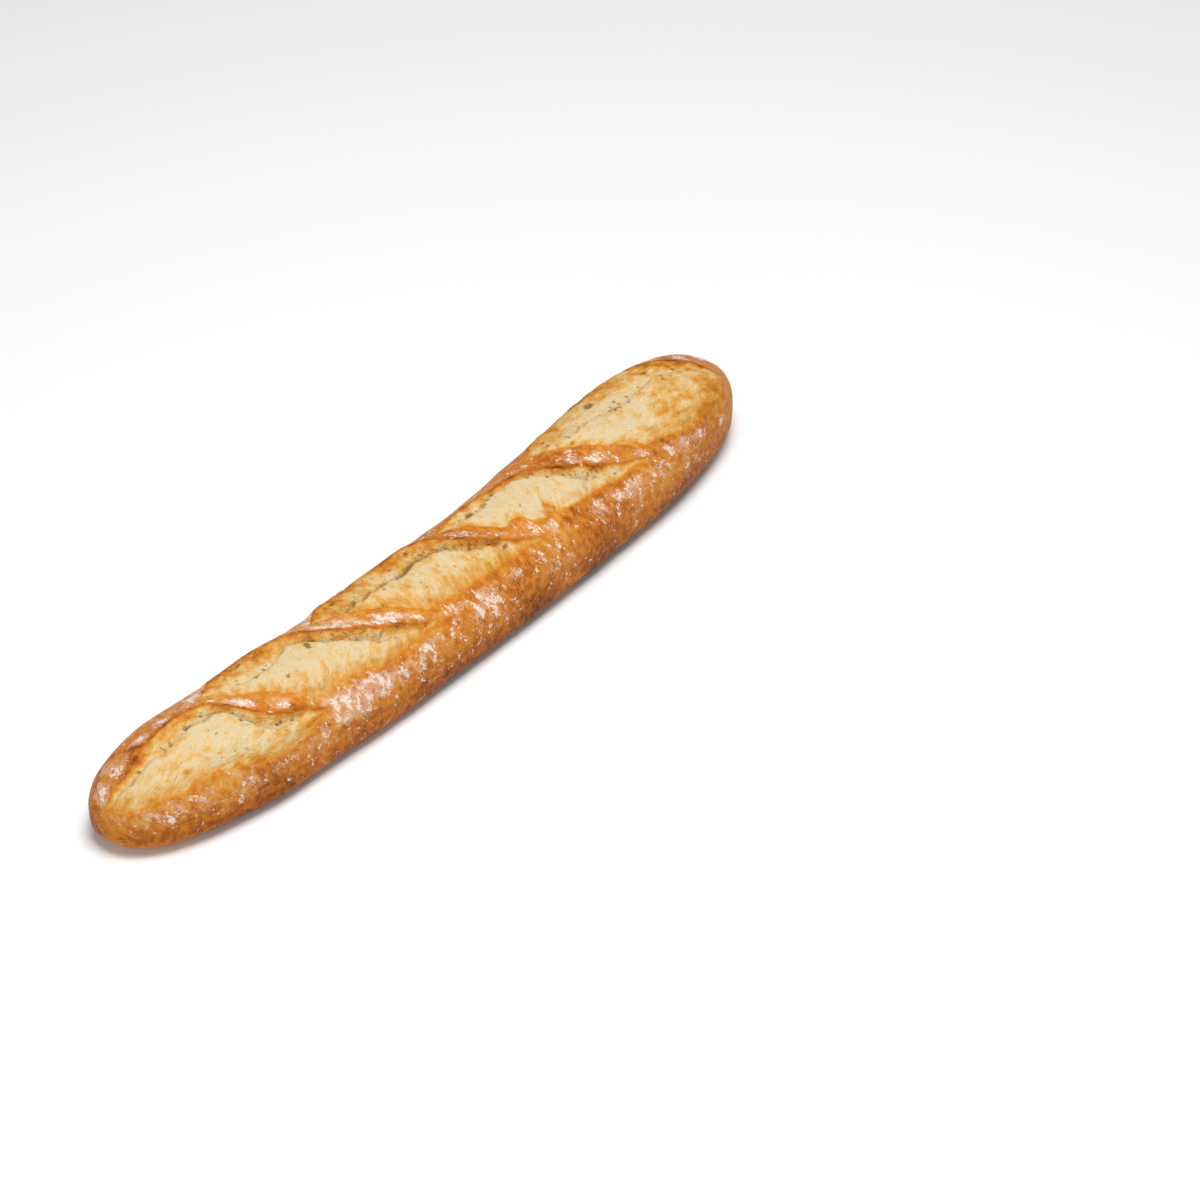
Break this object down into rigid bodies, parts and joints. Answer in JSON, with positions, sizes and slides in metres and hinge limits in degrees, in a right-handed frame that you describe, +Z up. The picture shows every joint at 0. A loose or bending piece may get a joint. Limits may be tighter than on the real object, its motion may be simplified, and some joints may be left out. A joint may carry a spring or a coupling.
{
  "type": "baguette",
  "caption": "Whole long crusty loaf with a bowed body, rounded ends, slanting open slashes with raised ears along the top, and a flat underside that it rests on.",
  "frame": {"origin": "centre of the bounding box in X and Y, on the surface that the flat underside rests on", "axes": "+X along the loaf from its narrower end to its broader end, +Y across it, away from the side that the loaf bows towards, +Z up"},
  "size_m": [0.52, 0.089, 0.0638],
  "materials": {
    "crust": "matte"
  },
  "bodies": {
    "root": {"loaf": "crust"}
  },
  "joints": []
}
